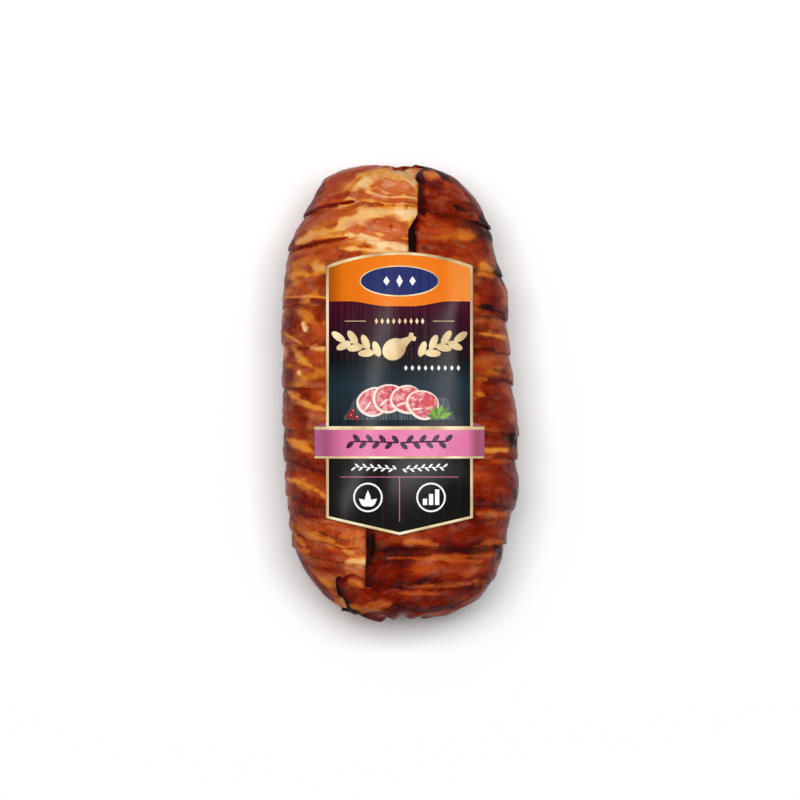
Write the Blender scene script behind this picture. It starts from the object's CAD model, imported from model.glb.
# %% [markdown]
# # A roast ham wrapped in bacon, under clear film
#
# The ham lies on a pale table and is seen from straight above. Rashers of streaky bacon go round it, each
# lying with its free edge on the next. A printed label lies over the top, and clear film is drawn tight over
# the meat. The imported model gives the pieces, their names and their places. This script dresses them.

import math

import bpy
import numpy as np
from mathutils import Matrix, Vector
from mathutils.geometry import delaunay_2d_cdt


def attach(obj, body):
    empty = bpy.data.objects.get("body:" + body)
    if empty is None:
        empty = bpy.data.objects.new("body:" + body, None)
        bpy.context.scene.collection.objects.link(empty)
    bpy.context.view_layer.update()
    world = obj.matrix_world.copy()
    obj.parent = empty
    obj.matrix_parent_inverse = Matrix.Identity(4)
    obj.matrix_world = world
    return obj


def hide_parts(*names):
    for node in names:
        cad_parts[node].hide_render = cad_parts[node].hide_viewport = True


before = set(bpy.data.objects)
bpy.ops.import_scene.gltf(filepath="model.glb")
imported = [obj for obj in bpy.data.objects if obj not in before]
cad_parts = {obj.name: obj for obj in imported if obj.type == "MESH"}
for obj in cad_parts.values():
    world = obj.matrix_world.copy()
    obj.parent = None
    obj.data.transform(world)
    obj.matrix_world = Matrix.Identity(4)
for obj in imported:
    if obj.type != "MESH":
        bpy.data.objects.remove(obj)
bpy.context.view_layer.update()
print("nodes:", ", ".join(sorted(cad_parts)))

# %% [markdown]
# ## The ham's own coordinates
#
# A rasher is hard to place by x, y and z, but easy to place by where it is on the ham: **t**, the distance
# along the ham from its middle, **turn**, how far round it, from 0 on top over the left side back to 1, and
# **height**, how far outside the bare meat. Both curves of the ham, along it and round it, are blunt ovals
# (superellipses). They are walked once in small steps, so that distances along them can be looked up. All of
# this is worked out for whole arrays of points at a time, in millimetres, as in the solids.

# %% Sizes and curves of the bare meat
LENGTH, WIDTH, WRAP = 220.0, 114.0, 4.0
TOP_RISE, BOTTOM_DROP = 42.0, 40.0
END_POWER, TOP_POWER, BOTTOM_POWER = 3.05, 2.3, 3.0
TAPER, TAPER_FROM, TAPER_TO = 3.25, -20, 60
RIDGE, SINK, FLAT_FROM = 3.9, 2.4, 1.44
LEFT_BULGES = [(101, 2.4, 5), (87, -1.6, 6.5), (64, 2.0, 8), (38, 1.2, 14), (-77, 2.0, 9)]
RIGHT_BULGES = [
    (88, 0.6, 8), (74, 1.8, 4), (46, 3.0, 12), (-22, 1.2, 7), (-46, 2.9, 11), (-77, 1.8, 6), (-93, 3.0, 9),
    (-106, 6.5, 4),
]
BULGE_FROM, BULGE_WHOLE = 5, 34
HALF_LENGTH, HALF_WIDTH = LENGTH / 2 - WRAP, WIDTH / 2 - WRAP
MID_HEIGHT = BOTTOM_DROP + RIDGE - SINK


def mix(a, b, share):
    return a + (b - a) * share


def smooth(start, end, x):
    share = np.clip((x - start) / (end - start), 0.0, 1.0)
    return share * share * (3 - 2 * share)


def rounded(inwards, reach):
    """0 at an edge, rising like a quarter of a circle to 1 at reach."""
    return np.sqrt(np.clip(1 - (1 - np.clip(inwards / reach, 0, 1)) ** 2, 0, 1))


def walked(x, z):
    """The length of a line up to each of its points."""
    return np.concatenate([[0.0], np.cumsum(np.hypot(np.diff(x), np.diff(z)))])


def section(angle):
    """x for a half-width of 1, and z, of the cross-section."""
    up, side = np.cos(angle), np.sin(angle)
    power = 2 / np.where(up > 0, TOP_POWER, BOTTOM_POWER)
    rise = np.where(up > 0, TOP_RISE, BOTTOM_DROP)
    return -np.sign(side) * np.abs(side) ** power, np.sign(up) * np.abs(up) ** power * rise


QUARTER = np.linspace(0, math.pi / 2, 4001)
END_SHARE = 2 / END_POWER
ALONG = walked(HALF_WIDTH * np.cos(QUARTER) ** END_SHARE, HALF_LENGTH * np.sin(QUARTER) ** END_SHARE)
ROUND = np.linspace(0, 2 * math.pi, 4001)
AROUND = walked(section(ROUND)[0] * HALF_WIDTH, section(ROUND)[1])
POLE, GIRTH = ALONG[-1], AROUND[-1]
print(f"pole {POLE:.1f} mm from the middle, girth {GIRTH:.1f} mm")


# %% Points of the meat, and points raised above it
def bulges(table, y):
    """How far a side stands out at y, from (middle, height, reach) of each of its bulges."""
    return sum(out * np.exp(-(((y - at) / reach) ** 2)) for at, out, reach in table)


def taper_at(y):
    """How much the half-width has shrunk at y. The middle moves left by as much, so the left side stays."""
    return TAPER * smooth(TAPER_FROM, TAPER_TO, y)


def meat_point(t, turn):
    angle = np.interp(np.abs(t), ALONG, QUARTER)
    girth = np.cos(angle) ** END_SHARE
    y = np.sign(t) * HALF_LENGTH * np.sin(angle) ** END_SHARE
    lean = taper_at(y)
    x, z = section(np.interp((turn % 1.0) * GIRTH, AROUND, ROUND))
    across = x * girth * (HALF_WIDTH - lean) - lean
    left = bulges(LEFT_BULGES, y) * smooth(BULGE_FROM, BULGE_WHOLE, -across)
    right = bulges(RIGHT_BULGES, y) * smooth(BULGE_FROM, BULGE_WHOLE, across)
    return np.stack(np.broadcast_arrays(across - (left - right), y, MID_HEIGHT + z * girth), -1)


def pressed(z):
    """The table flattens what would reach below it."""
    return np.maximum(0.0, np.logaddexp(0.0, z) - math.log1p(math.exp(-FLAT_FROM)))


def raised(t, turn, height):
    """Points at a height above the bare meat, square to it."""
    step = 0.4
    along = meat_point(t + step, turn) - meat_point(t - step, turn)
    out = np.cross(along, meat_point(t, turn + step / GIRTH) - meat_point(t, turn - step / GIRTH))
    out /= np.linalg.norm(out, axis=-1, keepdims=True)
    point = meat_point(t, turn) + out * np.asarray(height)[..., None]
    point[..., 2] = pressed(point[..., 2])
    return point


def distance_to(y):
    """t of the place where the wrapped ham's top has this y."""
    reach = np.minimum(np.abs(y) / (LENGTH / 2), 0.9995)
    return np.sign(y) * np.interp(np.arcsin(reach ** (END_POWER / 2)), QUARTER, ALONG)


print(f"the bare meat's top is {meat_point(0.0, 0.0)[2]:.1f} mm above the table")

# %% [markdown]
# ## Repeatable unevenness
#
# Meat is never even. Blender's own noise nodes work in materials, but the shapes and the broad pattern of
# lean and fat need the same kind of numbers in Python. This is value noise: a random number at each corner
# of a grid, made from the corner's own coordinates so that it is the same in every run, and eased between.


# %% Noise for arrays of points
def noise(points, seed):
    cell = np.floor(points)
    part = points - cell
    part = part**3 * (part * (part * 6 - 15) + 10)
    cell = cell.astype(np.int64)
    total = 0.0
    for corner in np.ndindex(2, 2, 2):
        at = cell + corner
        mixed = (at[..., 0] * 73856093) ^ (at[..., 1] * 19349663) ^ (at[..., 2] * 83492791) ^ (seed * 40503)
        for _ in range(2):
            mixed = ((mixed ^ (mixed >> 15)) & 0xFFFFFFFF) * 0x2C1B3C6D & 0xFFFFFFFF
        mixed ^= mixed >> 13
        total = total + np.prod(np.where(corner, part, 1 - part), axis=-1) * mixed / 0xFFFFFFFF
    return total


def rough(u, v, w, seed, octaves=3):
    """Noise with finer noise on it, from -1 to 1, mostly within a third of that."""
    points = np.stack(np.broadcast_arrays(u, v, w), -1).astype(float)
    shares = [0.5**o for o in range(octaves)]
    layers = [share * noise(points * 2.03**o, seed + o) for o, share in enumerate(shares)]
    return 2 * sum(layers) / sum(shares) - 1


print("noise along a line:", np.round(rough(np.arange(0.5, 5), 0, 0, 11), 2))

# %% [markdown]
# ## Where the rashers lie
#
# Each rasher goes right round. Its browned end comes up the right side and lies over its own pale end, which
# starts a little to the right of the seam and goes off to the left. The edges were read off the photograph
# where they cross the top, left and right of the seam, and are eased between over the flanks and beneath.

# %% Edges, seam and layers
RASHERS = 12
EDGE_LEFT = [91.7, 73.9, 42.2, 22, -1.4, -22, -42.7, -60, -69.6, -79.7, -88.3]
EDGE_RIGHT = [89.3, 64.3, 41.3, 24, 7.2, -18.7, -31.7, -56.6, -76.8, -94.6, -105.6]
FLAP_TIP = [-12.5, -3, 0, 2, 5, 8, 11, 14, 16, 19.5, 22.5, 50]
SEAM_FROM, SEAM_TO = -10.0, 24.0
LAP, GAP, END_GAP = 6.0, 0.3, 0.75
UNDER_LAP, THIN_END, FLAP_THIN = 16.0, 0.35, 0.8
RECESS, RECESS_FADE, LONG_LAP = 2.4, 26.0, 28.0
RIM_ARC, GATHER_ARC, GATHER_THIN = 10.0, 34.0, 0.3
PLEATS, PLEAT_DEPTH = 9, 0.7


def free_edge(i, turn):
    """t of rasher i's free edge. Edge 0 and edge 12 are the rims round the poles."""
    turn = np.asarray(turn, float)
    wobble = 0.9 * np.sin(2 * np.pi * (2.6 * turn + 0.37 * i)) * np.cos(5 * turn + i)
    wobble = wobble + 1.9 * rough(turn * GIRTH / 10, i * 5.3, 0, 71, 3)
    if i in (0, RASHERS):
        return (POLE - RIM_ARC) * (1 if i == 0 else -1) + wobble * (0.4 if i == 0 else 1)
    left, right = EDGE_LEFT[i - 1], EDGE_RIGHT[i - 1]
    left_flank, right_flank = left + 3 - 0.1 * left, right - 4.5 - 0.06 * right
    on_left = mix(left, left_flank, smooth(0.03, 0.25, turn))
    beneath = mix(left_flank, right_flank, smooth(0.25, 0.75, turn))
    on_right = mix(right, right_flank, smooth(0.03, 0.25, 1 - turn))
    return distance_to(np.where(turn < 0.25, on_left, np.where(turn < 0.75, beneath, on_right)) + wobble)


def from_seam(t, turn):
    """How far right of the seam a place is, in mm along the girth. Left of it the number is negative."""
    seam = mix(SEAM_FROM, SEAM_TO, (POLE - t) / (2 * POLE))
    return seam - np.where(turn > 0.5, turn - 1, turn) * GIRTH


def recess(t, turn):
    """How deep the meat is pressed in along the seam."""
    d = from_seam(t, turn)
    sunk = smooth(-RECESS_FADE, -3, d + LONG_LAP * smooth(60, POLE - 30, -t))
    return RECESS * sunk * (1 - smooth(UNDER_LAP, UNDER_LAP + RECESS_FADE, d))


def gather(t):
    """0 along the ham, rising to 1 near a pole, where the rashers are gathered."""
    return smooth(POLE - GATHER_ARC, POLE - RIM_ARC, np.abs(t))


def fold(t, turn):
    """The height of the pleats round both ends."""
    return PLEAT_DEPTH * gather(t) * (1 + np.where(t > 0, 0.35, 1) * np.sin(2 * np.pi * PLEATS * turn))


def bed_of(t, turn):
    """The height that a layer of bacon lies at, and its thickness as a share of the usual one."""
    d = from_seam(t, turn)
    thin = 1 - GATHER_THIN * gather(t)
    pale = mix(1, THIN_END, smooth(3, UNDER_LAP, d))
    landed = smooth(UNDER_LAP + 1, UNDER_LAP + 22, d)
    over = (GAP + RIDGE * pale * thin + fold(t, turn)) * (1 - landed)
    browned = turn > 0.5
    share = np.where(browned, mix(FLAP_THIN, 1, landed), pale) * thin
    return np.where(browned, over, 0.0) - recess(t, turn), share


# %% [markdown]
# ## What the bacon shows
#
# Four numbers are painted on every point of the bacon: **fat** (0 lean, 1 fat), **roast** (0 pale, 1 black),
# **char** and **veins**. Streaks run along a rasher, wander and drift across it: that is the rule, and all
# of the underside has only this. On top the eye knows this ham by single features, such as the ovals of lean
# in the pale ends, the lobes of amber fat and the burnt corners. Those are painted over it in strokes, like
# touches of a soft brush. A stroke is the fat, roast and char that it leaves, its half-width and the points
# of its line, and None leaves a value as it is. An eye of lean is an oval: its middle, two half-widths, tilt,
# roast, and the strength of the brown dot in it. Places are given in the photograph's pixels of 0.48 mm. The
# material later frays all the edges.

# %% Brush strokes for the pale ends, the left side and the browned side, and the eyes
PIXEL, CENTRE_X, CENTRE_Y = 0.48, 399.5, 391.0
PALE_END = [
    (1.0, 0.22, 0, 8, (345, 192), (362, 184), (380, 172), (412, 171)),
    (1.0, 0.16, 0, 8, (360, 187), (368, 184)), (0.0, 0.45, 0, 10, (325, 192), (338, 180), (352, 171)),
    (0.1, 0.50, 0, 3.5, (352, 173), (376, 166), (402, 163)),
    (0.5, 0.32, 0, 2.4, (330, 197), (348, 191), (362, 178)),
    (0.0, 0.62, 0, 4, (320, 200), (338, 197), (352, 197)),
    (0.15, 0.34, 0, 3, (352, 195), (378, 200), (418, 200)),
    (0.9, 0.15, 0, 1.3, (366, 193.5), (384, 196), (417, 195)),
    (0.75, 0.28, 0, 1.6, (362, 201), (388, 203), (417, 203)),
    (0.0, 0.38, 0, 10, (302, 228), (318, 217), (334, 208)), (1.0, 0.16, 0, 5, (340, 208), (354, 202)),
    (0.45, 0.36, 0, 4.5, (310, 232), (334, 222), (352, 211), (392, 206)),
    (0.95, 0.24, 0, 4.5, (298, 243), (318, 235), (338, 231)),
    (1.05, 0.12, 0, 8, (340, 229), (356, 220), (374, 213), (400, 210)),
    (1.2, 0.0, 0, 9, (398, 209), (409, 213)), (1.1, 0.05, 0, 6, (410, 206), (418, 216)),
    (0.9, 0.12, 0, 5, (409, 168), (415, 182)),
    (1.0, 0.1, 0, 5, (346, 237), (366, 238), (384, 245), (412, 249)),
    (0.2, 0.27, 0, 1.8, (360, 232), (384, 238), (410, 243)),
    (0.25, 0.33, 0, 4, (300, 252), (325, 244), (352, 246)),
    (None, 0.8, 0.6, 2, (326, 170), (320, 181), (316, 197)), (None, 0.75, 0.4, 2, (306, 209), (300, 222)),
    (0.0, 0.76, 0.1, 2.2, (301, 217), (318, 209), (338, 205), (354, 203)),
    (0.1, 0.68, 0, 1.8, (289, 250), (304, 247), (322, 243), (348, 239)),
    (None, 0.72, 0.1, 3, (333, 171), (323, 181), (317, 198), (304, 214), (293, 236), (288, 256)),
    (0.9, 0.2, 0, 2.2, (340, 250), (370, 251), (400, 252)), (0.1, 0.36, 0, 7, (322, 258), (340, 254)),
]
LEFT_SIDE = [
    (0.95, 0.36, 0, 7, (314, 266), (326, 272)), (0.9, 0.4, 0, 6, (293, 277), (306, 275)),
    (0.4, 0.36, 0, 5, (300, 264), (314, 258)), (0.0, 0.52, 0, 9, (296, 290), (308, 289)),
    (0.0, 0.55, 0, 7, (322, 292), (332, 298)), (0.85, 0.30, 0, 1.6, (283, 298), (312, 297), (328, 299)),
    (0.0, 0.78, 0, 2.6, (284, 302), (300, 301)), (0.1, 0.74, 0, 3, (312, 301), (328, 304)),
    (0.85, 0.43, 0, 2.6, (300, 303), (310, 302)), (1.0, 0.42, 0, 5, (299, 310), (306, 314), (312, 321)),
    (0.5, 0.42, 0, 3, (312, 321), (318, 327)), (0.0, 0.72, 0, 8.5, (289, 321), (291, 330)),
    (0.0, 0.44, 0, 8, (317, 330), (322, 337)), (1.25, 0.05, 0, 3.2, (304, 324), (306, 331)),
    (0.8, 0.3, 0, 1.8, (282, 332), (291, 337), (302, 344)),
    (1.0, 0.42, 0, 4.8, (294, 347), (299, 357), (306, 364)),
    (0.85, 0.40, 0, 2.8, (306, 364), (316, 369), (326, 374)), (1.1, 0.22, 0, 3.6, (313, 348), (326, 349)),
    (0.0, 0.47, 0, 8, (314, 359), (324, 363)), (0.5, 0.26, 0, 4, (284, 345), (286, 356)),
    (1.2, 0.06, 0, 2.8, (299, 371), (301, 375)), (0.0, 0.46, 0, 8, (312, 384), (324, 386)),
    (0.0, 0.72, 0, 6, (286, 371), (289, 380)), (1.0, 0.42, 0, 4.6, (289, 392), (300, 399), (310, 406)),
    (0.85, 0.42, 0, 2.8, (310, 406), (328, 411)), (0.0, 0.74, 0, 7, (290, 412), (306, 422)),
    (0.0, 0.6, 0, 6, (312, 423), (328, 426)), (0.95, 0.44, 0, 4.4, (288, 439), (302, 445), (312, 452)),
    (0.8, 0.44, 0, 2.6, (312, 452), (328, 457)), (0.0, 0.74, 0, 7, (292, 462), (326, 468)),
    (1.0, 0.42, 0, 4.6, (287, 478), (303, 483), (316, 489)), (0.9, 0.38, 0, 3, (316, 489), (328, 497)),
    (0.0, 0.74, 0, 7, (296, 498), (326, 507)), (0.0, 0.8, 0, 2.4, (301, 513), (328, 518)),
    (0.2, 0.42, 0, 6, (300, 524), (340, 526), (366, 528)),
    (0.75, 0.44, 0, 3, (292, 529), (298, 538), (305, 545)),
    (0.55, 0.3, 0, 4, (313, 535), (321, 538), (332, 541)), (0.6, 0.42, 0, 3, (299, 550), (309, 551)),
    (0.35, 0.26, 0, 9, (345, 534), (362, 546)), (0.3, 0.3, 0, 8, (345, 570), (360, 574)),
    (0.7, 0.33, 0, 3.5, (342, 551), (352, 553)), (1.0, 0.2, 0, 3.8, (344, 563), (366, 563)),
    (0.0, 0.68, 0, 2.4, (306, 563), (320, 570), (340, 575)),
    (0.85, 0.45, 0, 4, (320, 580), (330, 585), (337, 591)), (0.7, 0.36, 0, 5, (350, 586), (362, 584)),
    (0.0, 0.6, 0, 4, (312, 556), (318, 566)),
    (0.0, 0.84, 0.25, 3, (292, 544), (300, 561), (311, 576), (321, 590), (332, 602)),
]
BROWNED_SIDE = [
    (0.1, 0.84, 0, 7, (421, 168), (423, 198), (425, 214)), (0.0, 0.84, 0, 12, (431, 182), (436, 196)),
    (0.0, 0.8, 0, 6, (430, 186), (435, 194)),
    (0.0, 0.95, 0.8, 4.5, (418, 164), (437, 172), (450, 180), (465, 190), (475, 204), (483, 217),
        (490, 231), (493, 243), (498, 257)),
    (None, 0.86, 0.5, 4, (438, 163), (452, 174), (468, 190), (478, 205), (486, 220), (491, 236),
        (494, 250), (500, 268), (504, 284)), (0.75, 0.52, 0, 5, (426, 173), (438, 177)),
    (0.1, 0.68, 0, 9, (450, 186), (462, 198)), (0.3, 0.74, 0, 9, (428, 208), (452, 207)),
    (0.1, 0.78, 0.25, 7, (448, 172), (466, 186), (478, 202), (488, 220)),
    (0.1, 0.74, 0.15, 5, (494, 238), (500, 256)), (None, None, 0.9, 3, (412, 163), (434, 166), (446, 174)),
    (None, None, 0.85, 4, (454, 206), (460, 209), (472, 216)), (0.35, 0.58, 0, 6, (428, 223), (460, 222)),
    (0.85, 0.55, 0, 7, (457, 237), (471, 237)), (0.6, 0.56, 0, 6, (434, 238), (456, 237)),
    (None, None, 1.0, 5, (483, 215), (489, 228), (492, 240)), (0.1, 0.70, 0, 7, (424, 250), (486, 252)),
    (None, None, 0.6, 2.6, (462, 253), (473, 256)), (0.1, 0.62, 0, 5, (478, 243), (492, 246)),
    (0.95, 0.42, 0, 8.5, (484, 266), (489, 275)), (None, None, 0.9, 3.5, (498, 262), (503, 282)),
    (0.1, 0.72, 0, 10, (480, 291), (498, 292)), (None, None, 0.9, 4, (477, 307), (490, 309), (504, 314)),
    (0.5, 0.50, 0, 7, (478, 321), (500, 323)), (0.8, 0.40, 0, 2, (478, 334), (504, 337)),
    (0.2, 0.62, 0, 4, (480, 343), (504, 345)), (0.42, 0.52, 0, 8, (482, 357), (506, 360)),
    (None, None, 0.6, 2.5, (492, 370), (506, 371)), (0.75, 0.48, 0, 3, (476, 380), (486, 381)),
    (0.0, 0.72, 0, 12, (484, 396), (488, 412)), (0.8, 0.5, 0, 3, (477, 394), (484, 396)),
    (None, None, 0.5, 2, (502, 402), (504, 406)), (0.45, 0.56, 0, 4, (480, 428), (508, 432)),
    (0.9, 0.45, 0, 3.2, (477, 449), (506, 450)), (None, None, 0.95, 5, (511, 434), (516, 446)),
    (0.35, 0.48, 0, 2.5, (480, 460), (512, 461)), (0.05, 0.6, 0, 16, (490, 478), (494, 492)),
    (None, None, 0.8, 2.8, (515, 491), (516, 501)), (0.4, 0.48, 0, 3.5, (478, 513), (508, 514)),
    (0.2, 0.68, 0, 10, (430, 534), (485, 530)), (0.6, 0.5, 0, 4.5, (404, 541), (436, 544)),
    (0.6, 0.52, 0, 3.6, (474, 546), (500, 541)), (0.5, 0.47, 0, 3, (432, 556), (496, 554)),
    (0.0, 0.98, 1.0, 4.5, (373, 536), (373, 551)), (0.0, 0.84, 0, 9, (380, 562), (379, 582)),
    (0.6, 0.48, 0, 3.4, (474, 581), (487, 580)), (0.05, 0.8, 0, 8, (390, 568), (394, 574)),
    (0.3, 0.62, 0, 9, (416, 566), (446, 570), (470, 568)), (None, 0.75, 0, 2, (440, 571), (442, 573)),
    (0.35, 0.45, 0, 2, (388, 557), (480, 560)), (0.0, 0.8, 0, 1.5, (372, 587), (420, 590), (492, 586)),
    (0.5, 0.48, 0, 3, (404, 586), (470, 583)), (0.1, 0.73, 0, 8, (400, 601), (465, 598)),
    (0.7, 0.5, 0, 4, (366, 605), (380, 608)), (0.4, 0.5, 0, 2, (400, 594), (440, 593)),
    (None, None, 0.8, 3, (429, 606), (438, 607)), (None, None, 1.2, 5, (338, 586), (341, 600), (352, 608)),
    (None, None, 0.9, 3, (352, 608), (368, 614)), (0.0, 0.9, 0.5, 3.5, (352, 613), (368, 619), (384, 619)),
    (0.1, 0.86, 0.35, 3, (366, 613), (400, 612), (452, 607)), (0.0, 0.76, 0, 5, (384, 597), (402, 600)),
    (0.55, 0.44, 0, 4.5, (352, 578), (362, 584)), (0.7, 0.46, 0, 3, (352, 603), (366, 608)),
    (0.45, 0.52, 0, 4, (370, 601), (390, 604)), (None, None, 0.6, 3, (318, 595), (326, 600)),
    (None, None, 0.45, 3, (470, 196), (478, 206)), (0.0, 0.95, 0.9, 6, (412, 229), (413, 240), (415, 253)),
    (None, None, 0.8, 3, (507, 306), (510, 322)),
]
EYES = [(396, 184, 21, 7.5, -3, 0.14, 0.0), (388.5, 227, 21, 8.8, -5, 0.25, 1.0)]
PALE_STROKES = PALE_END + LEFT_SIDE
print(len(PALE_STROKES) + len(BROWNED_SIDE), "strokes and", len(EYES), "eyes of lean")


def line_reach(px, py, line, half):
    """Distance to a line as a share of its half-width, which is less at both ends."""
    lengths = [math.dist(a, b) for a, b in zip(line, line[1:])]
    nearest, gone = np.full(px.shape, 1e9), 0.0
    for (ax, ay), (bx, by), length in zip(line, line[1:], lengths):
        share = np.clip(((px - ax) * (bx - ax) + (py - ay) * (by - ay)) / length**2, 0, 1)
        on = (gone + share * length) / sum(lengths)
        width = half * (0.55 + 0.45 * np.sqrt(np.clip(4 * on * (1 - on), 0, 1)))
        off = np.hypot(px - ax - share * (bx - ax), py - ay - share * (by - ay))
        nearest = np.minimum(nearest, off / width)
        gone += length
    return nearest


def brush(values, x, y, uneven, on_pale, on_brown):
    """Paints the strokes and the eyes over fat, roast and char, in place."""
    px, py = CENTRE_X + x / PIXEL, CENTRE_Y - y / PIXEL
    for strokes, strength in ((PALE_STROKES, on_pale), (BROWNED_SIDE, on_brown)):
        for to_fat, to_roast, to_char, half, *line in strokes:
            reach = max(half * 2.2, 3.0)
            xs, ys = [q[0] for q in line], [q[1] for q in line]
            near = (strength > 0) & (px > min(xs) - reach) & (px < max(xs) + reach)
            near &= (py > min(ys) - reach) & (py < max(ys) + reach)
            if near.any():
                d = line_reach(px[near], py[near], line, half) + uneven[near]
                share = (1 - smooth(0.15, 1.6, d)) * strength[near]
                for value, target in zip(values, (to_fat, to_roast, to_char)):
                    if target is not None:
                        value[near] = mix(value[near], target, share)
    for ex, ey, rx, ry, tilt, tone, dot in EYES:
        c, s = math.cos(math.radians(tilt)), math.sin(math.radians(tilt))
        dx, dy = px - ex, ey - py
        d = np.hypot((dx * c + dy * s) / rx, (dy * c - dx * s) / ry) + 0.34 * uneven
        share = (1 - smooth(0.84, 1.08, d)) * on_pale
        values[0][:] = mix(values[0], 0.16 + 0.09 * np.cos(19 * d), share)
        values[1][:] = mix(values[1], tone + 0.12 * smooth(0.55, 0.95, d) - 0.03 * np.cos(19 * d), share)
        values[1][:] += dot * 0.35 * (1 - smooth(1.0, 2.6, np.hypot(dx - 2.5, dy - 1))) * on_pale


# %% The streaks of a rasher, and how far each place is roasted
def beside_seam(x, y):
    """Roughly how far from the seam a place on top is, in mm."""
    return np.abs(x + mix(SEAM_FROM, SEAM_TO, (HALF_LENGTH - y) / (2 * HALF_LENGTH)) * 0.7)


def painted(number, point, s, w, width, browned, to_tip):
    """fat, roast, char and veins at points of a rasher. s runs along it, w across it from its free edge."""
    x, y, z = point[..., 0], point[..., 1], point[..., 2]
    top = smooth(20, 40, z)
    side = np.abs(x + taper_at(y)) / 56
    wander = rough(s / 24, w / 13, number * 7.3, 11, 3)
    drift = np.where(browned, -0.03, 0.22) * s
    bands = np.cos(2 * np.pi * ((w + drift) / 9.5 + 1.0 * wander + 0.31 * number))
    lumps = rough(s / 8, w / 3.6, number * 3.1, 23, 3)
    broad = rough(s / 30, w / 22, number * 2.3, 37, 2)
    fat = np.where(browned, 0.34 + 0.22 * bands + 0.6 * lumps, 0.30 + 0.32 * bands + 0.9 * lumps)
    fat = fat + 0.6 * broad - np.where(browned, 0.10 * smooth(-50, -75, y), 0)
    seamward = smooth(26, 4, beside_seam(x, y))
    pale = 0.49 - 0.17 * smooth(52, 84, y) - 0.16 * smooth(-55, -80, y) * seamward
    brown = 0.61 + 0.1 * smooth(-40, -70, y) + 0.04 * smooth(55, 80, y)
    blotches = rough(s / 15, w / 7, number * 1.7, 61, 3)
    roast = np.where(browned, brown, pale + 0.03) + np.where(browned, 0.24, 0.36) * blotches
    roast = roast + 0.09 * smooth(0.55, 1.0, side) - np.where(browned, 0.03 * smooth(-10, 40, y) * top, 0)
    veins = np.where(browned, 0.2, 0.78 + 0.3 * smooth(-60, -72, y) - 0.42 * smooth(40, 66, y))
    char = np.zeros_like(fat)
    uneven = 1.1 * rough(x / 4.6, y / 3.4, z / 9, 51, 4)
    brush((fat, roast, char), x, y, uneven, top * ~browned, top * browned)
    at_edges = smooth(3.5, 0.3, w) + (1.2 if number > 1 else 0) * smooth(3.0, 0.2, np.abs(w - width))
    roast = roast + np.where(browned, 0.08, 0.05) * at_edges
    roast = roast - np.where(browned, 0.07, 0.0) * smooth(3.0, 8.0, np.minimum(w, width - w))
    roast = roast + np.where(browned, 0.22 * smooth(8, 0, to_tip + 3 * uneven), 0.0)
    char = char + np.where(browned, 0.3 * smooth(3.5, 0.3, to_tip + 3 * uneven), 0.0)
    patches = rough(s / 16, w / 5, number * 4.9, 83, 3) - 0.25
    char = char + np.where(browned, 0.55, 0.2) * smooth(2.5, 0.2, w) * np.clip(2.2 * patches, 0, 1)
    return np.clip(fat, 0, 1.3), np.clip(roast, 0.0, 1), np.clip(char, 0, 1), np.clip(veins, 0, 1)


# %% [markdown]
# ## A rasher as one closed solid
#
# A rasher could be a thin strip with a Solidify modifier, but its section matters: thin where it is hidden
# under its neighbour, thickest just inside its free edge, and rounded there like a cooked rind. So a section
# is a closed line of some dozens of points, out over the upper side, round the free edge and back beneath. It
# is carried round the ham in steps of half a millimetre, which are longer beneath. The lean shrinks in the
# oven and the fat stays proud, so the same numbers that colour the bacon also shape it.

# %% Helpers that turn arrays of points into Blender objects
MM = 0.001


def make_object(name, points, faces, attributes=None, smooth_faces=True):
    """points in mm. faces are a pair: an array of quads, and a list of other faces."""
    mesh = bpy.data.meshes.new(name)
    points = np.asarray(points, float).reshape(-1, 3) * MM
    quads, others = faces
    loops = np.concatenate([np.ravel(quads), *others]).astype(np.int32)
    sizes = np.array([4] * len(quads) + [len(face) for face in others], np.int32)
    mesh.vertices.add(len(points))
    mesh.vertices.foreach_set("co", points.ravel())
    mesh.loops.add(len(loops))
    mesh.loops.foreach_set("vertex_index", loops)
    mesh.polygons.add(len(sizes))
    mesh.polygons.foreach_set("loop_start", np.concatenate([[0], np.cumsum(sizes)[:-1]]).astype(np.int32))
    mesh.polygons.foreach_set("loop_total", sizes)
    mesh.update(calc_edges=True)
    for key, values in (attributes or {}).items():
        kind, field = ("FLOAT_VECTOR", "vector") if values.ndim > 1 else ("FLOAT", "value")
        mesh.attributes.new(key, kind, "POINT").data.foreach_set(field, np.asarray(values, float).ravel())
    mesh.polygons.foreach_set("use_smooth", np.full(len(sizes), smooth_faces))
    mesh.validate()
    thing = bpy.data.objects.new(name, mesh)
    bpy.context.scene.collection.objects.link(thing)
    return thing


def tube_quads(loops, size):
    """Quads between neighbouring loops, each of which is a closed ring of size points."""
    loop, place = np.meshgrid(np.arange(loops - 1), np.arange(size), indexing="ij")
    on, up = loop + 1, (place + 1) % size
    corners = [loop * size + place, on * size + place, on * size + up, loop * size + up]
    return np.stack(corners, -1).reshape(-1, 4)


def end_faces(loops, size):
    """One face at each end of the tube."""
    return [np.arange(size), (loops - 1) * size + np.arange(size)[::-1]]


def pole_fans(loops, size):
    """Triangles from the first and the last loop to a pole each. The poles come after all the loops."""
    last, low, high = (loops - 1) * size, loops * size, loops * size + 1
    fans = [[low, a, (a + 1) % size] for a in range(size)]
    return fans + [[high, last + (a + 1) % size, last + a] for a in range(size)]


def spaced_turns(first, last, near, far):
    """Turns from first to last, near mm apart on the upper side and far mm apart beneath."""
    count = 5000
    fine = np.linspace(first, last, count)
    beneath = smooth(0.25, 0.33, fine % 1.0) * (1 - smooth(0.67, 0.75, fine % 1.0))
    steps = np.cumsum(np.full(count, (last - first) * GIRTH / (count - 1)) / mix(near, far, beneath))
    return np.interp(np.linspace(steps[0], steps[-1], int(steps[-1]) + 2), steps, fine)


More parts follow.
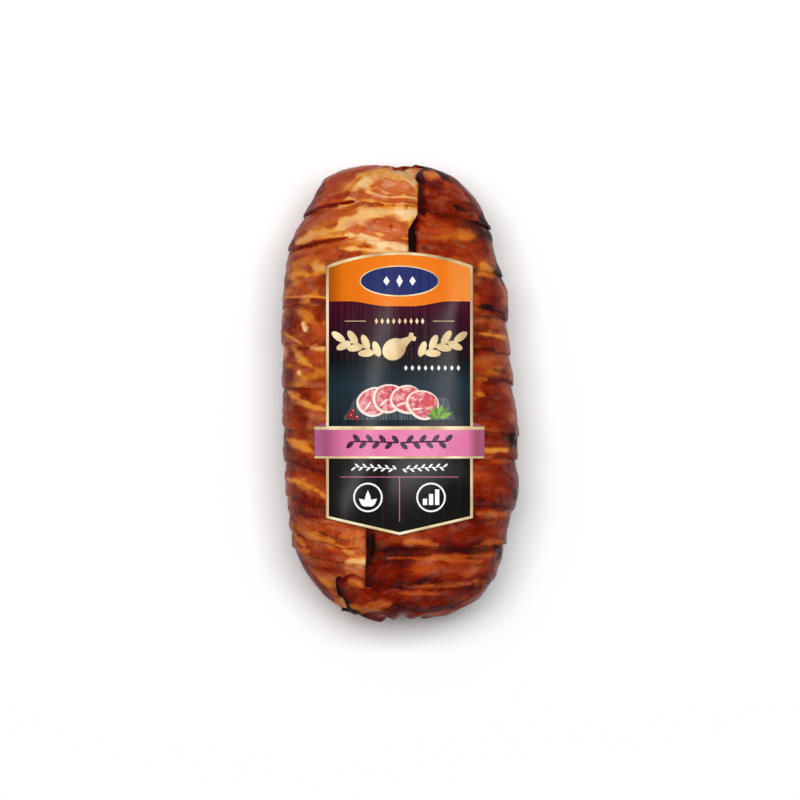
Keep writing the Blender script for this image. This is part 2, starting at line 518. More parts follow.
# %% The section of a rasher, and its way round the ham
NEAR, FAR, ACROSS = ((0.52, 1.3, 0.55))
COLUMNS = 30
NOSE, NOSE_FOOT, RIM, UNDERCUT = 1.0, 2.4, 2.5, 8.4
TIP_ROUND, TIP_CLOSE = 9, 1.6
NARROWED = {1: 0.05, 2: 0.12, 9: 0.05, 10: 0.05, 11: 0.05}
STRAIGHT_TIPS = {
    1: (8.3, 6.6), 2: (4.0, 8.6), 3: (6.0, 6.0), 9: (-15.4, -14.6), 10: (-15.8, -15.4), 11: (-26.0, -29.5),
}


def nearest_column(turn):
    """The turn of the nearest column of the solids, because their rashers start and end on one."""
    return round(turn * 2 * COLUMNS) / (2 * COLUMNS)


def upper_side(number, w, width):
    """Height of a rasher's upper side, w mm from its free edge."""
    if number == 1:
        crown = 0.5 * smooth(width - RIM, 0.5 * width, w) + 0.8 * smooth(0.5 * width, 1.2, w)
        return 1.1 + 1.5 * rounded(width - w, RIM) + crown
    margin = 0.8 + 1.4 * np.clip((width + LAP - w) / (LAP - 0.8), 0, 1)
    if number == RASHERS:
        return mix(1.1, margin + 0.9 * smooth(width + 0.8, 0.6 * width, w), rounded(w, RIM))
    return margin + 0.9 * smooth(width + 0.8, 0.5 * width, w) + 0.4 * smooth(0.5 * width, 1.2, w)


def lower_side(number, w, width):
    """Height of its lower side, which rises to the foot of the rounded free edge."""
    if number == RASHERS:
        return mix(END_GAP, GAP, smooth(width, width + LAP, w))
    base = END_GAP if number == 1 else GAP
    return base + (NOSE_FOOT - base) * np.clip((UNDERCUT - w) / UNDERCUT, 0, 1) ** 0.8


def turn_at(t, x):
    """The turn of the place on top with this t and this x, in mm."""
    turns = np.linspace(-0.2, 0.2, 160)
    return np.array([np.interp(-b, -meat_point(np.full(160, a), turns)[:, 0], turns) for a, b in zip(t, x)])


def tip_shift(number, t, last):
    """How much turn to add at the tip, so that it lies at a chosen x, in mm, instead of at one turn."""
    if number not in STRAIGHT_TIPS:
        return np.zeros_like(t)
    low_x, high_x = STRAIGHT_TIPS[number]
    wanted = mix(low_x, high_x, smooth(0.45, 0.6, (t - t.min()) / np.ptp(t)))
    return turn_at(t, wanted) + 1 - last


def start_shift(number, t, first):
    """The same for the pale end, which must reach well under a tip that was moved to the right."""
    if number not in STRAIGHT_TIPS or STRAIGHT_TIPS[number][0] < 0:
        return np.zeros_like(t)
    return np.minimum(turn_at(t, np.full(t.shape, STRAIGHT_TIPS[number][0] + 8.0)) - first, 0)


def sections(number, turn, width):
    """w and h of the points of every section, and how many of them are on the upper side."""
    start = width + (0 if number == 1 else LAP)
    stop = 0.0 if number == RASHERS else NOSE
    count = int(start.mean() / ACROSS)
    w_out = mix(start, stop, np.linspace(0, 1, count))
    h_out = upper_side(number, w_out, width)
    nose = np.array([])
    if number < RASHERS:
        nose = np.radians([60, 30, 0, -30, -60])
        dented = np.clip(2.4 * rough(turn * GIRTH / 15, number * 3.3, 0, 113, 2), 0, 1)
        h_out = h_out - 0.75 * dented * smooth(5, 0.5, w_out)
    w_nose = NOSE - NOSE * np.cos(nose) * np.ones_like(turn)
    h_nose = mix(NOSE_FOOT, h_out[:, -1:], 0.5 + 0.5 * np.sin(nose))
    w_in = mix(stop, start, np.linspace(0, 1, 16) ** 1.2)
    h_in = lower_side(number, w_in, width)
    return np.hstack([w_out, w_nose, w_in]), np.hstack([h_out, h_nose, h_in]), count + len(nose)


def relief(number, fat, char, s, w, h, width, upper, to_tip):
    """The heights with lumps and proud fat on the upper side, thinned to an edge at the tip."""
    shown = np.zeros_like(h)
    shown[:, :upper] = 1
    shown *= smooth(width + 2, width - 2, w) if number > 1 else 1
    lumps = 0.42 * rough(s / 19, w / 14, number * 5.7, 91, 3)
    lumps = lumps + 0.16 * rough(s / 5, w / 3, number * 2.9, 97, 2)
    plump = 0.30 * (smooth(0.30, 0.70, fat) - 0.5) - 0.14 * char
    h = h + shown * (1.5 * lumps + plump) * smooth(-0.5, 2.5, w)
    under = lower_side(number, w, width)
    return under + np.maximum(h - under, 0) * np.maximum(rounded(to_tip, TIP_CLOSE), 0.05)


# %% The rashers
MEAN_GIRTH = 0.92 * GIRTH
SHIFT_REACH = 0.17


def rasher(number):
    """One rasher as a closed solid, from under the seam round the ham and up to its tip on top."""
    middle = (free_edge(number - 1, 0) + free_edge(number, 0)) / 2
    seam = mix(SEAM_FROM, SEAM_TO, (POLE - middle) / (2 * POLE))
    first = nearest_column((seam - UNDER_LAP) / GIRTH)
    last = nearest_column(1 + FLAP_TIP[number - 1] / GIRTH)
    turn = spaced_turns(first, last, NEAR, FAR)[:, None]
    to_tip = (last - turn) * GIRTH
    edge_above, edge_below = free_edge(number - 1, turn), free_edge(number, turn)
    narrow = NARROWED.get(number, 0.28) * (1 - rounded(to_tip, TIP_ROUND))
    above = mix(edge_above, edge_below, 0 if number == 1 else narrow)
    below = mix(edge_below, edge_above, 0 if number == RASHERS else narrow)
    width = above - below
    w, h, upper = sections(number, turn, width)
    late = tip_shift(number, (below + w)[-1], last) * smooth(last - SHIFT_REACH, last, turn)
    early = start_shift(number, (below + w)[0], first) * smooth(first + SHIFT_REACH, first, turn)
    turn = turn + late + early
    t = free_edge(number, turn) + (below - edge_below) + w
    s = turn * MEAN_GIRTH
    tips = np.broadcast_to(to_tip, t.shape)
    fat, roast, char, veins = painted(number, raised(t, turn, h), s, w, width, turn > 0.5, tips)
    h = relief(number, fat, char, s, w, h, width, upper, to_tip)
    bed, share = bed_of(t, turn)
    point = raised(t, turn, bed + GAP + (h - GAP) * share + fold(t, turn) * smooth(0.9, 1.3, h))
    shown = {"fat": fat, "roast": roast, "char": char, "veins": veins}
    attributes = {key: values.ravel() for key, values in shown.items()}
    grain = np.stack([s * MM, w * MM, np.full(s.shape, number * 0.37)], -1)
    attributes["grain"] = grain.reshape(-1, 3)
    faces = tube_quads(*t.shape), end_faces(*t.shape)
    return make_object(f"bacon_rasher_{number:02d}", point, faces, attributes)


rashers = [rasher(number) for number in range(1, RASHERS + 1)]
print(len(rashers), "rashers,", sum(len(thing.data.polygons) for thing in rashers), "faces")

# %% [markdown]
# ## The meat inside
#
# Only the small openings at both ends show it, but it is a whole closed form all the same, with the hollow
# along its top that the doubled ends of the rashers have pressed into it.


# %% The ham
def bare_ham():
    rows, columns = ((150, 260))
    t = POLE * np.linspace(-1, 1, rows + 2)[1:-1, None]
    turn = np.linspace(0, 1, columns, endpoint=False)[None, :]
    x, y, z = np.moveaxis(raised(t, turn, -recess(t, turn) - 0.1), -1, 0)
    point = raised(t, turn, -recess(t, turn) - 0.15 + 0.12 * rough(x / 9, y / 9, z / 9, 131, 3))
    ends = [point[0].mean(0), point[-1].mean(0)]
    for end, sign in zip(ends, (-1, 1)):
        end[1] = sign * (HALF_LENGTH - 0.6)
    points = np.concatenate([point.reshape(-1, 3), ends])
    return make_object("roast_meat", points, (tube_quads(rows, columns), pole_fans(rows, columns)))


ham = bare_ham()
print("ham:", len(ham.data.polygons), "faces")

# %% [markdown]
# ## The label, field by field
#
# The label is one die-cut sheet, printed in flat fields with clean edges: a gold border, an orange head, a
# plum panel over a dark picture, a pink ribbon across and a black foot. A picture would be an image texture;
# here every field is a polygon. All polygons go into one constrained triangulation, with extra points between
# so that the sheet can bend, and each triangle takes the colour of the topmost polygon that it lies in. The
# small print is of lozenges, leaves and plain round marks.

# %% Outlines in plan, in mm
HALF, PEAK, SHOULDER, CORNER, POINT = 35.0, 66.0, 59.6, -60.6, -68.6
RIBBON, RIBBON_TOP, RIBBON_FOOT, FOLD_RISE = 40.5, -17.0, -32.2, 2.3
BORDER, ARCH_POINTS = 1.3, 25


def arc(centre_y, radius, from_x, to_x, count):
    x = np.linspace(from_x, to_x, count)
    return [(a, centre_y + math.sqrt(radius**2 - a**2)) for a in x]


def foot_points(half, inset):
    """The pointed foot, from left to right."""
    corner, point = CORNER + inset * 0.75, POINT + inset * 1.03
    return [(-half, corner), (0, point), (half, corner)]


def body_outline(inset):
    half, peak, shoulder = HALF - inset, PEAK - inset, SHOULDER - inset * 0.9
    rise = peak - shoulder
    radius = (half**2 + rise**2) / (2 * rise)
    return arc(peak - radius, radius, -half, half, ARCH_POINTS) + foot_points(half, inset)[::-1]


def placed(points, x, y, tilt):
    """Turns points by tilt, in degrees, and moves them to x and y."""
    c, s = math.cos(math.radians(tilt)), math.sin(math.radians(tilt))
    return [(x + a * c - b * s, y + a * s + b * c) for a, b in points]


def ellipse(x, y, rx, ry, tilt=0.0, count=36, wave=0.0, lobes=5):
    turns = np.linspace(0, 2 * np.pi, count, endpoint=False)
    grow = 1 + wave * np.sin(lobes * turns + x)
    return placed(zip(rx * grow * np.cos(turns), ry * grow * np.sin(turns)), x, y, tilt)


def box(x_from, x_to, y_from, y_to):
    return [(x_from, y_from), (x_to, y_from), (x_to, y_to), (x_from, y_to)]


def band(y_top, y_foot, half):
    return box(-half, half, y_foot, y_top)


def leaf(x, y, length, breadth, tilt, count=14):
    u = np.linspace(0, 1, count)
    side = breadth / 2 * np.sin(np.pi * u**0.8)
    upper = list(zip(u * length, side))
    return placed(upper + [(a, -b) for a, b in upper[-2:0:-1]], x, y, tilt)


# %% The fields, from the lowest to the topmost
inner = HALF - BORDER
head_foot = [(a, 42.6 - 2.4 * smooth(24, 6, abs(a))) for a in np.linspace(inner, -inner, 41)]
head = body_outline(BORDER)[:ARCH_POINTS] + head_foot
panel = head_foot[::-1] + [(inner, 14.0), (-inner, 14.0)]
picture = band(15.0, RIBBON_TOP + 0.2, inner)
board = [(-27, -13.8), (27, -13.8), (22.5, -3.2), (-21, -3.2)]
foot = [(-inner, RIBBON_FOOT), *foot_points(inner, BORDER), (inner, RIBBON_FOOT)]
FIELDS = [
    ("gold", body_outline(0)),
    ("orange", head),
    ("plum", panel),
    ("picture", picture),
    ("board", board),
    ("black", foot),
    ("fold", [(HALF, RIBBON_TOP), (RIBBON, RIBBON_TOP), (HALF, RIBBON_TOP + FOLD_RISE)]),
    ("fold", [(-HALF, RIBBON_TOP), (-HALF, RIBBON_TOP + FOLD_RISE), (-RIBBON, RIBBON_TOP)]),
    ("gold", band(RIBBON_TOP, RIBBON_FOOT, RIBBON)),
    ("pink", band(RIBBON_TOP - 1.5, RIBBON_FOOT + 1.2, RIBBON)),
    ("gold", ellipse(0, 52.2, 19.0, 7.4)),
    ("navy", ellipse(0, 52.2, 18.4, 6.8)),
    ("rose", band(-40.7, -41.1, 28)),
    ("rose", box(-0.2, 0.2, -62.0, -41.1)),
]


def ham_leg(x, y, size):
    """A generic joint on the bone: a drop with a knuckle."""
    turns = np.linspace(0.16 * np.pi, 1.84 * np.pi, 30)
    round_side = [(-0.2 + 1.0 * math.cos(a), 0.86 * math.sin(a)) for a in turns]
    knuckle = [(1.35, -0.2), (1.62, -0.42), (1.86, -0.2), (1.72, 0.0), (1.86, 0.2), (1.62, 0.42), (1.35, 0.2)]
    return placed([(size * a, size * b) for a, b in round_side + knuckle], x, y, math.degrees(0.6))


for x in (-6.2, 0.0, 6.2):
    FIELDS.append(("white", ellipse(x, 52.2, 1.5, 2.9 if x == 0 else 2.2, count=4)))
for x_from, x_to in ((-26, -16), (16, 26)):
    FIELDS.append(("gold", box(x_from, x_to, 33.0, 33.3)))
for x in np.linspace(-11, 11, 9):
    FIELDS.append(("gold", ellipse(x, 33.1, 0.8, 1.5, count=4)))
for x in np.linspace(3, 28, 9):
    FIELDS.append(("white", ellipse(x, 10.9, 0.8, 1.3, count=4)))
FIELDS.append(("gold", ham_leg(-1.6, 20.4, 5.8)))
for x, y, tilt in ((-12.5, -5.2, 24), (-5.0, -3.6, 10), (3.5, -4.2, -10), (11.0, -6.6, -24)):
    FIELDS.append(("rind", ellipse(x, y, 8.0, 6.9, tilt, wave=0.03, lobes=3)))
    FIELDS.append(("slice", ellipse(x + 0.3, y + 0.2, 7.1, 6.0, tilt, wave=0.04, lobes=3)))
    FIELDS.append(("blush", ellipse(x + 2.2, y + 1.4, 3.0, 2.2, tilt + 20, wave=0.12, lobes=4)))
    FIELDS.append(("rind", ellipse(x - 2.6, y - 2.0, 2.6, 0.5, tilt + 30, wave=0.1)))
for x, y, r in ((-23.5, -11.8, 1.5), (-20.6, -12.6, 1.3), (-22.4, -9.6, 1.2)):
    FIELDS.append(("berry", ellipse(x, y, r, r, count=20)))
    FIELDS.append(("rind", ellipse(x + 0.4, y + 0.4, 0.3, 0.25, count=8)))
for k, tilt in enumerate((165, 135, 110, 80, 52, 24)):
    FIELDS.append(("green" if k % 2 else "moss", leaf(19.0, -13.0, 6.6, 2.6, tilt)))
for x in (-15.0, 15.0):
    FIELDS.append(("white", ellipse(x, -50.6, 7.0, 7.0)))
    FIELDS.append(("black", ellipse(x, -50.6, 6.2, 6.2)))
for tilt in (90, 40, 140):
    FIELDS.append(("white", leaf(-15.0, -54.8, 7.6 if tilt == 90 else 5.6, 2.8, tilt)))
for k, high in enumerate((3.0, 5.2, 7.4)):
    x = 15.0 + (k - 1) * 2.9
    FIELDS.append(("white", box(x - 1, x + 1, -54.2, -54.2 + high)))


# %% Cut the sheet out of the fields
def triangulated(fields, spacing):
    """The points of the sheet in plan, its triangles, and the number of each triangle's topmost field."""
    points, polygons = [], []
    for _, outline in fields:
        dense = []
        for a, b in zip(outline, outline[1:] + outline[:1]):
            parts = max(1, int(math.dist(a, b) / spacing))
            dense += [(mix(a[0], b[0], k / parts), mix(a[1], b[1], k / parts)) for k in range(parts)]
        area = sum(a[0] * b[1] - b[0] * a[1] for a, b in zip(dense, dense[1:] + dense[:1]))
        dense = dense if area > 0 else dense[::-1]
        polygons.append(list(range(len(points), len(points) + len(dense))))
        points += dense
    grid = []
    for row, y in enumerate(np.arange(POINT - 0.4, PEAK + 1, spacing * 0.87)):
        grid += [(x + (row % 2) * spacing / 2, y) for x in np.arange(-41, 41, spacing)]
    verts, _, faces, _, _, owners = delaunay_2d_cdt(points + grid, [], polygons, 1, 1e-4, True)
    kept = [(f, max(o)) for f, o in zip(faces, owners) if o]
    used = sorted({v for f, _ in kept for v in f})
    renumbered = {v: i for i, v in enumerate(used)}
    plan = np.array([verts[v][:] for v in used])
    return plan, [[renumbered[v] for v in f] for f, _ in kept], [o for _, o in kept]


plan, triangles, owner = triangulated(FIELDS, 1.5)
print("label:", len(triangles), "triangles in", len(FIELDS), "fields")


# %% Bend the sheet over the ham
BED_HEIGHT, SHEET_THICKNESS = 4.75, 0.25


def label_bed():
    """A dense grid of the surface that the label lies on."""
    t = np.linspace(distance_to(-78), distance_to(76), 320)[:, None]
    turn = np.linspace(-0.2, 0.2, 260)[None, :]
    over_laps = np.exp(-((from_seam(t, turn) / 16) ** 2))
    return raised(t, turn, BED_HEIGHT + over_laps)


def heights_over(grid, places):
    """z of the grid's surface at each place, between the two rows that lie beside it."""
    y_rows = grid[:, grid.shape[1] // 2, 1]
    z = []
    for x, y in places:
        r = min(max(np.searchsorted(y_rows, y) - 1, 0), len(grid) - 2)
        low, high = (np.interp(x, row[::-1, 0], row[::-1, 2]) for row in grid[r : r + 2])
        z.append(mix(low, high, (y - y_rows[r]) / (y_rows[r + 1] - y_rows[r])))
    return np.array(z)


sheet_z = heights_over(label_bed(), plan)
print("the label spans z", round(float(sheet_z.min()), 1), "to", round(float(sheet_z.max()), 1), "mm")
label = make_object("label_sheet", np.column_stack([plan, sheet_z]), ([], triangles))

# %% [markdown]
# ## Materials
#
# A material is a small network of nodes. Arithmetic in nodes is wordy, so a socket is wrapped in a class
# whose plus, minus and times signs make the Math nodes. What several materials need, such as the look of
# streaky bacon or of printing ink, is made once as a node group.


# %% Arithmetic on sockets
class Wire:
    def __init__(self, tree, socket):
        self.tree, self.socket = tree, socket

    def math(self, operation, *others, clamp=False):
        node = self.tree.nodes.new("ShaderNodeMath")
        node.operation, node.use_clamp = operation, clamp
        for place, value in enumerate((self, *others)):
            plug(self.tree, value, node.inputs[place])
        return Wire(self.tree, node.outputs[0])

    def __add__(self, other):
        return self.math("ADD", other)

    def __sub__(self, other):
        return self.math("SUBTRACT", other)

    def __mul__(self, other):
        return self.math("MULTIPLY", other)

    def eased(self, start, end):
        node = self.tree.nodes.new("ShaderNodeMapRange")
        node.interpolation_type = "SMOOTHSTEP"
        for place, value in enumerate((self, start, end, 0.0, 1.0)):
            plug(self.tree, value, node.inputs[place])
        return Wire(self.tree, node.outputs[0])


def plug(tree, value, socket):
    if isinstance(value, Wire):
        tree.links.new(value.socket, socket)
    else:
        socket.default_value = value


def colour(code):
    """A linear colour from its six-digit web code."""
    parts = [int(code[i : i + 2], 16) / 255 for i in (0, 2, 4)]
    return [p / 12.92 if p <= 0.04045 else ((p + 0.055) / 1.055) ** 2.4 for p in parts] + [1.0]


def stretched(tree, vector, factors):
    node = tree.nodes.new("ShaderNodeVectorMath")
    node.operation = "MULTIPLY"
    plug(tree, vector, node.inputs[0])
    node.inputs[1].default_value = factors
    return Wire(tree, node.outputs[0])


def speckle(tree, vector, scale, detail=4.0, roughness=0.55):
    """Noise. The scale is one number, or three for a noise that is finer one way than another."""
    if isinstance(scale, tuple):
        vector, scale = stretched(tree, vector, scale), 1.0
    node = tree.nodes.new("ShaderNodeTexNoise")
    plug(tree, vector, node.inputs["Vector"])
    for key, value in (("Scale", scale), ("Detail", detail), ("Roughness", roughness)):
        node.inputs[key].default_value = value
    return Wire(tree, node.outputs["Fac"])


def cracks(tree, vector, scale, bend):
    """Distance to the edges of stretched cells, whose walls are bent by noise."""
    scaled = stretched(tree, vector, scale)
    wobble = tree.nodes.new("ShaderNodeTexNoise")
    plug(tree, scaled, wobble.inputs["Vector"])
    wobble.inputs["Scale"].default_value = 1.3
    moved = tree.nodes.new("ShaderNodeVectorMath")
    moved.operation = "MULTIPLY_ADD"
    tree.links.new(wobble.outputs["Color"], moved.inputs[0])
    moved.inputs[1].default_value = (bend * 3,) * 3
    plug(tree, scaled, moved.inputs[2])
    cells = tree.nodes.new("ShaderNodeTexVoronoi")
    cells.feature = "DISTANCE_TO_EDGE"
    cells.inputs["Scale"].default_value = 1.0
    tree.links.new(moved.outputs[0], cells.inputs["Vector"])
    return Wire(tree, cells.outputs["Distance"])


def ramp(tree, value, stops):
    node = tree.nodes.new("ShaderNodeValToRGB")
    while len(node.color_ramp.elements) < len(stops):
        node.color_ramp.elements.new(0.5)
    for element, (place, code) in zip(node.color_ramp.elements, stops):
        element.position, element.color = place, colour(code)
    plug(tree, value, node.inputs["Fac"])
    return Wire(tree, node.outputs["Color"])


def blend(tree, share, first, second):
    node = tree.nodes.new("ShaderNodeMix")
    node.data_type = "RGBA"
    for place, value in ((0, share), (6, first), (7, second)):
        plug(tree, value, node.inputs[place])
    return Wire(tree, node.outputs[2])


def group(name, inputs, outputs):
    """A shader node group with named sockets. Returns its tree, its inputs and its output node."""
    tree = bpy.data.node_groups.new(name, "ShaderNodeTree")
    for label_text, kind, start in inputs:
        socket = tree.interface.new_socket(name=label_text, in_out="INPUT", socket_type=kind)
        if start is not None:
            socket.default_value = start
    for label_text, kind in outputs:
        tree.interface.new_socket(name=label_text, in_out="OUTPUT", socket_type=kind)
    source, sink = tree.nodes.new("NodeGroupInput"), tree.nodes.new("NodeGroupOutput")
    return tree, {s.name: Wire(tree, s) for s in source.outputs if s.name}, sink


def place_group(tree, made, **values):
    node = tree.nodes.new("ShaderNodeGroup")
    node.node_tree = made
    for key, value in values.items():
        plug(tree, value, node.inputs[key.replace("_", " ")])
    return node


def material(name, roughness=0.4, **settings):
    made = bpy.data.materials.new(name)
    made.use_nodes = True
    shader = made.node_tree.nodes["Principled BSDF"]
    shader.inputs["Roughness"].default_value = roughness
    for key, value in settings.items():
        shader.inputs[key.replace("_", " ")].default_value = value
    return made, made.node_tree, shader


def dress(tree, look, shader):
    """Joins a look's colour and roughness to the shader."""
    tree.links.new(look.outputs["Color"], shader.inputs["Base Color"])
    tree.links.new(look.outputs["Roughness"], shader.inputs["Roughness"])


def object_place(tree):
    """The place on the piece, in its own coordinates."""
    return Wire(tree, tree.nodes.new("ShaderNodeTexCoord").outputs["Object"])


def attribute(tree, name, vector=False):
    node = tree.nodes.new("ShaderNodeAttribute")
    node.attribute_name = name
    return Wire(tree, node.outputs["Vector" if vector else "Fac"])


def bump(tree, height, shader, strength, distance):
    node = tree.nodes.new("ShaderNodeBump")
    node.inputs["Strength"].default_value = strength
    node.inputs["Distance"].default_value = distance
    plug(tree, height, node.inputs["Height"])
    tree.links.new(node.outputs["Normal"], shader.inputs["Normal"])


# %% [markdown]
# ### Streaky bacon
#
# Lean is red when pale and nearly black when roasted. Fat is cream, then amber, then brown. So each has its
# own ramp of colours along the roast, and the fat number chooses between them. Noise frays the edge between
# lean and fat. A net of thin pale veins runs through the lean: it is drawn by the edges of Voronoi cells,
# which are narrow along the rasher and long across it.

# %% The bacon's look as a group
LEAN = [
    (0.0, "dc8a58"), (0.2, "c85e2e"), (0.35, "b64c1e"), (0.5, "9f350f"), (0.62, "852006"), (0.75, "660c02"),
    (0.88, "420606"), (1.0, "1c080a"),
]
FAT = [
    (0.0, "f0cf9b"), (0.2, "e4a962"), (0.4, "dc8830"), (0.55, "c4681a"), (0.7, "9a4513"), (0.85, "61260d"),
    (1.0, "260f0c"),
]
BLOOM = [(0.15, "d79a74"), (0.4, "b86c4c"), (0.6, "985038"), (0.78, "6c2f2a"), (1.0, "2a1418")]
tree, given, sink = group(
    "bacon look",
    [
        ("Grain", "NodeSocketVector", None), ("Fat", "NodeSocketFloat", 0.5),
        ("Roast", "NodeSocketFloat", 0.5), ("Char", "NodeSocketFloat", 0.0),
        ("Veins", "NodeSocketFloat", 0.5), ("Fraying", "NodeSocketFloat", 0.85),
    ],
    [("Color", "NodeSocketColor"), ("Roughness", "NodeSocketFloat"), ("Height", "NodeSocketFloat")],
)
grain = given["Grain"]
middling = speckle(tree, grain, (170, 360, 90), 5.0, 0.6)
fine = speckle(tree, grain, (700, 900, 90), 4.0, 0.6)
fibres = speckle(tree, grain, (900, 170, 60), 3.0)
along = speckle(tree, grain, (110, 1300, 60), 3.0)
broad = speckle(tree, grain, (46, 90, 60), 3.0, 0.5)
frayed = given["Fat"] + (middling - 0.5) * given["Fraying"] + (fine - 0.5) * 0.35 + (along - 0.5) * 0.55
fatness = frayed.eased(0.14, 0.9)
net = cracks(tree, grain, (620, 300, 90), 0.9)
net = net.eased(0.15, 0.0) * broad.eased(0.38, 0.60) * middling.eased(0.38, 0.62) * given["Veins"]
threads = fibres.eased(0.52, 0.68) * middling.eased(0.40, 0.60) * given["Veins"]
pale = net.math("MAXIMUM", threads * 0.8)
heat = given["Roast"] + (broad - 0.5) * 0.6 + (fine - 0.5) * 0.22 + (middling - 0.5) * 0.42
lean_colour = ramp(tree, heat + (fibres - 0.5) * 0.22, LEAN)
vein_colour = ramp(tree, heat - 0.40, LEAN)
lean_colour = blend(tree, pale * 0.9, lean_colour, vein_colour)
fat_colour = ramp(tree, heat + (along - 0.5) * 0.22 + (frayed * -1.0 + 1.0) * 0.22, FAT)
bacon_colour = blend(tree, fatness, lean_colour, fat_colour)
bloom = speckle(tree, grain, (95, 210, 40), 3.0).eased(0.48, 0.68)
bacon_colour = blend(tree, bloom * 0.5, bacon_colour, ramp(tree, heat, BLOOM))
burnt = (given["Char"] + (middling - 0.5) * 0.6 + (fine - 0.5) * 0.3).eased(0.2, 0.9)
ash = blend(tree, fine.eased(0.5, 0.66) * 0.5, colour("0e0506"), colour("3a1c1a"))
bacon_colour = blend(tree, burnt * 0.94, bacon_colour, ash)
gloss = along * 0.14 + 0.26 + burnt * 0.16 + (fine - 0.5) * 0.1
height = fatness * 0.5 + (fibres - 0.5) * 0.35 + fine * 0.3 + burnt * (fine - 0.3) + pale * 0.25
height = height + middling * 0.4
for wire, name in ((bacon_colour, "Color"), (gloss, "Roughness"), (height, "Height")):
    plug(tree, wire, sink.inputs[name])
bacon_look = tree
print("bacon look:", len(tree.nodes), "nodes")


# %% Bacon, and the meat inside
def bacon_material():
    made, tree, shader = material("streaky_bacon", Specular_IOR_Level=0.02)
    look = place_group(
        tree, bacon_look, Grain=attribute(tree, "grain", True), Fat=attribute(tree, "fat"),
        Roast=attribute(tree, "roast"), Char=attribute(tree, "char"), Veins=attribute(tree, "veins"),
    )
    dress(tree, look, shader)
    bump(tree, Wire(tree, look.outputs["Height"]), shader, 0.6, 0.0006)
    return made


def meat_material():
    made, tree, shader = material("roast_meat", roughness=0.5, Specular_IOR_Level=0.1)
    spot = object_place(tree)
    coarse = speckle(tree, spot, 90, 5.0)
    strands = speckle(tree, spot, (900, 160, 900), 4.0, 0.6)
    tone = ramp(tree, coarse * 0.6 + strands * 0.4, [(0.25, "4c1d12"), (0.5, "8a4128"), (0.75, "b96c4a")])
    plug(tree, tone, shader.inputs["Base Color"])
    bump(tree, strands + coarse, shader, 0.6, 0.0006)
    return made


streaky_bacon, roast_meat = bacon_material(), meat_material()
print("materials:", streaky_bacon.name, "and", roast_meat.name)

# %% [markdown]
# ### The film's look
#
# Film this thin shows only where the light glances off it: a faint veil seen straight on, and a pale, glossy
# rim where it turns away. Layer Weight gives that, and drives the Alpha.


# %% Clear film's material
def film_material():
    made, tree, shader = material("clear_film", roughness=0.2, Specular_IOR_Level=0.5)
    spot = object_place(tree)
    haze = speckle(tree, spot, 70, 4.0)
    ripple = speckle(tree, spot, 260, 3.0)
    veil = tree.nodes.new("ShaderNodeLayerWeight")
    veil.inputs["Blend"].default_value = 0.3
    rim = Wire(tree, veil.outputs["Facing"])
    sharp = rim * rim * rim
    cloudy = sharp * haze.eased(0.5, 0.66) * 0.16
    alpha = sharp * sharp * 0.6 + cloudy + haze.eased(0.5, 0.75) * 0.01 + 0.002
    plug(tree, ramp(tree, haze, [(0.3, "8a5a50"), (0.7, "c09a90")]), shader.inputs["Base Color"])
    plug(tree, alpha.math("ADD", 0.0, clamp=True), shader.inputs["Alpha"])
    bump(tree, ripple, shader, 0.25, 0.0004)
    return made


film_clear = film_material()
print("material:", film_clear.name)

# %% [markdown]
# ## Clear film
#
# The film is drawn over everything and touches only what stands out. That is a rule that Geometry Nodes can
# follow: a smooth shell is made round the ham, and each of its points looks inwards with Raycast for the
# bacon. The distances found are blurred over the shell, so that the film bridges the grooves, but it never
# goes deeper than the bacon. Fine wrinkles, strongest at the gathered ends, come last.


# %% A tree's shared parts
def geometry_tree(name, inputs):
    tree = bpy.data.node_groups.new(name, "GeometryNodeTree")
    tree.interface.new_socket(name="Geometry", in_out="INPUT", socket_type="NodeSocketGeometry")
    for text, kind, start in inputs:
        socket = tree.interface.new_socket(name=text, in_out="INPUT", socket_type=kind)
        if start is not None:
            socket.default_value = start
    tree.interface.new_socket(name="Geometry", in_out="OUTPUT", socket_type="NodeSocketGeometry")
    return tree, tree.nodes.new("NodeGroupInput"), tree.nodes.new("NodeGroupOutput")


def node(tree, kind, links=None, **settings):
    """A node with its inputs filled. A node that is given as a value stands for its first output."""
    made = tree.nodes.new(kind if kind.startswith("ShaderNode") else "GeometryNode" + kind)
    for key, value in settings.items():
        setattr(made, key, value)
    for key, value in (links or {}).items():
        if isinstance(value, bpy.types.Node):
            value = value.outputs[0]
        if isinstance(value, bpy.types.NodeSocket):
            tree.links.new(value, made.inputs[key])
        else:
            made.inputs[key].default_value = value
    return made


def reckon(tree, operation, *values):
    return node(tree, "ShaderNodeMath", dict(enumerate(values)), operation=operation)


def applied(source, tree, name, **values):
    """Runs a tree on a helper object and keeps the result as a plain mesh. The helper is removed."""
    modifier = source.modifiers.new(name, "NODES")
    modifier.node_group = tree
    for item in tree.interface.items_tree:
        if item.in_out == "INPUT" and item.name.replace(" ", "_") in values:
            modifier[item.identifier] = values[item.name.replace(" ", "_")]
    bpy.context.view_layer.update()
    depsgraph = bpy.context.evaluated_depsgraph_get()
    mesh = bpy.data.meshes.new_from_object(source.evaluated_get(depsgraph))
    source.modifiers.remove(modifier)
    bpy.data.objects.remove(source)
    mesh.name = name
    thing = bpy.data.objects.new(name, mesh)
    bpy.context.scene.collection.objects.link(thing)
    print(name + ":", len(mesh.polygons), "faces")
    return thing


